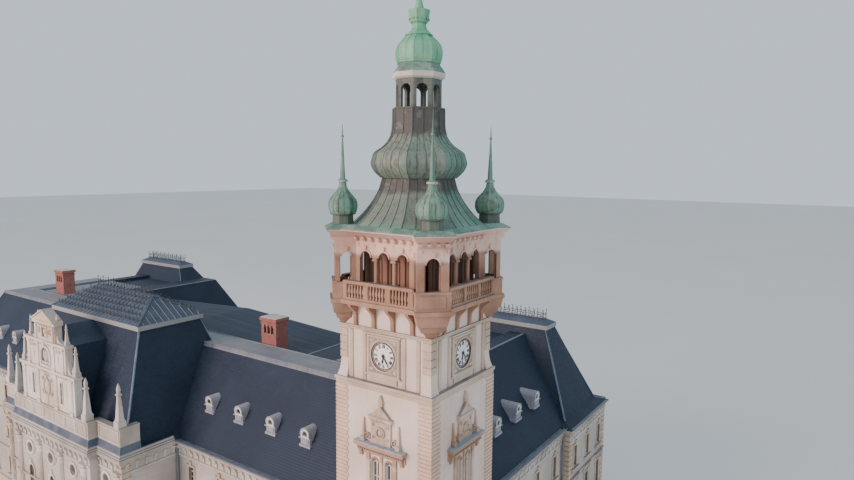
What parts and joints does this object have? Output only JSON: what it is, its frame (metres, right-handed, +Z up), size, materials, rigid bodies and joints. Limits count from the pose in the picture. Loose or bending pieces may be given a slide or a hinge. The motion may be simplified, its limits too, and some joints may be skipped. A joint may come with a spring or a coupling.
{
  "type": "1:2 scale model of a town hall building",
  "caption": "Town hall with a clock tower under an onion lantern, a gabled front pavilion, slate mansard roofs and a rear court; the clock hands turn.",
  "frame": {"origin": "centre of the clock tower at ground level", "axes": "+Z up, front facing -Y, right side facing +X, long side along X"},
  "size_m": [38.5308, 19.56, 25.6],
  "materials": {
    "plaster": "lime plaster, matte",
    "sandstone": "dressed sandstone, matte",
    "slate": "slate, satin",
    "zinc": "dull zinc sheet",
    "copper": "weathered copper sheet with green patina",
    "brick": "red brick, matte",
    "glass": "clear window glass",
    "oak": "varnished oak",
    "iron": "painted iron",
    "dial": "white enamel",
    "hand": "black paint",
    "floor": "masonry floor, matte"
  },
  "bodies": {
    "building": {"arm_decks": "zinc", "chimneys": "brick", "clock_faces": "dial", "clock_storey_walls": "plaster", "corner_turrets": "copper", "court_roof_slopes": "slate", "entrance_doors": "oak", "entrance_portal": "sandstone", "front_roof_slopes": "slate", "gable_obelisks": "sandstone", "gable_parapet": "sandstone", "gable_saddle_roof": "slate", "gallery_arches": "sandstone", "gallery_balustrade": "sandstone", "gallery_corbels": "sandstone", "gallery_floor": "sandstone", "gallery_piers": "sandstone", "ground_floor": "floor", "lantern_arches": "copper", "lantern_cornice": "copper", "lantern_dome": "copper", "lantern_posts": "copper", "main_cornice": "sandstone", "mansard_caps": "zinc", "mansard_ends": "slate", "mansard_flanks": "slate", "pavilion_half_columns": "sandstone", "pavilion_walls": "plaster", "plinth": "sandstone", "rear_pavilion_walls": "plaster", "ridge_strips": "zinc", "roof_crestings": "iron", "roof_dormers": "zinc", "side_roof_slopes": "slate", "slate_deck": "slate", "stepped_gable": "sandstone", "string_courses": "sandstone", "tower_bulb": "copper", "tower_eaves_cornice": "sandstone", "tower_finial": "copper", "tower_mouldings": "sandstone", "tower_roof": "copper", "tower_walls": "plaster", "tower_window_surrounds": "sandstone", "upper_floors": "floor", "window_glass": "glass", "wing_walls": "plaster"},
    "front_minute_hand": {"front_minute_hand": "hand"},
    "front_hour_hand": {"front_hour_hand": "hand"},
    "right_minute_hand": {"right_minute_hand": "hand"},
    "right_hour_hand": {"right_hour_hand": "hand"},
    "back_minute_hand": {"back_minute_hand": "hand"},
    "back_hour_hand": {"back_hour_hand": "hand"},
    "left_minute_hand": {"left_minute_hand": "hand"},
    "left_hour_hand": {"left_hour_hand": "hand"}
  },
  "joints": [
    {"name": "front_minute_hand_turn", "type": "hinge", "parent": "building", "child": "front_minute_hand", "pos_m": [0, -1.89, 13.3], "axis": [0, 1, 0], "continuous": true},
    {"name": "front_hour_hand_turn", "type": "hinge", "parent": "building", "child": "front_hour_hand", "pos_m": [0, -1.89, 13.3], "axis": [0, 1, 0], "continuous": true},
    {"name": "right_minute_hand_turn", "type": "hinge", "parent": "building", "child": "right_minute_hand", "pos_m": [1.89, 0, 13.3], "axis": [-1, 0, 0], "continuous": true},
    {"name": "right_hour_hand_turn", "type": "hinge", "parent": "building", "child": "right_hour_hand", "pos_m": [1.89, 0, 13.3], "axis": [-1, 0, 0], "continuous": true},
    {"name": "back_minute_hand_turn", "type": "hinge", "parent": "building", "child": "back_minute_hand", "pos_m": [0, 1.89, 13.3], "axis": [0, -1, 0], "continuous": true},
    {"name": "back_hour_hand_turn", "type": "hinge", "parent": "building", "child": "back_hour_hand", "pos_m": [0, 1.89, 13.3], "axis": [0, -1, 0], "continuous": true},
    {"name": "left_minute_hand_turn", "type": "hinge", "parent": "building", "child": "left_minute_hand", "pos_m": [-1.89, 0, 13.3], "axis": [1, 0, 0], "continuous": true},
    {"name": "left_hour_hand_turn", "type": "hinge", "parent": "building", "child": "left_hour_hand", "pos_m": [-1.89, 0, 13.3], "axis": [1, 0, 0], "continuous": true}
  ],
  "couplings": [
    {"joint": "front_hour_hand_turn", "follows": "front_minute_hand_turn", "ratio": 0.083333},
    {"joint": "right_minute_hand_turn", "follows": "front_minute_hand_turn", "ratio": 1},
    {"joint": "right_hour_hand_turn", "follows": "front_minute_hand_turn", "ratio": 0.083333},
    {"joint": "back_minute_hand_turn", "follows": "front_minute_hand_turn", "ratio": 1},
    {"joint": "back_hour_hand_turn", "follows": "front_minute_hand_turn", "ratio": 0.083333},
    {"joint": "left_minute_hand_turn", "follows": "front_minute_hand_turn", "ratio": 1},
    {"joint": "left_hour_hand_turn", "follows": "front_minute_hand_turn", "ratio": 0.083333}
  ]
}
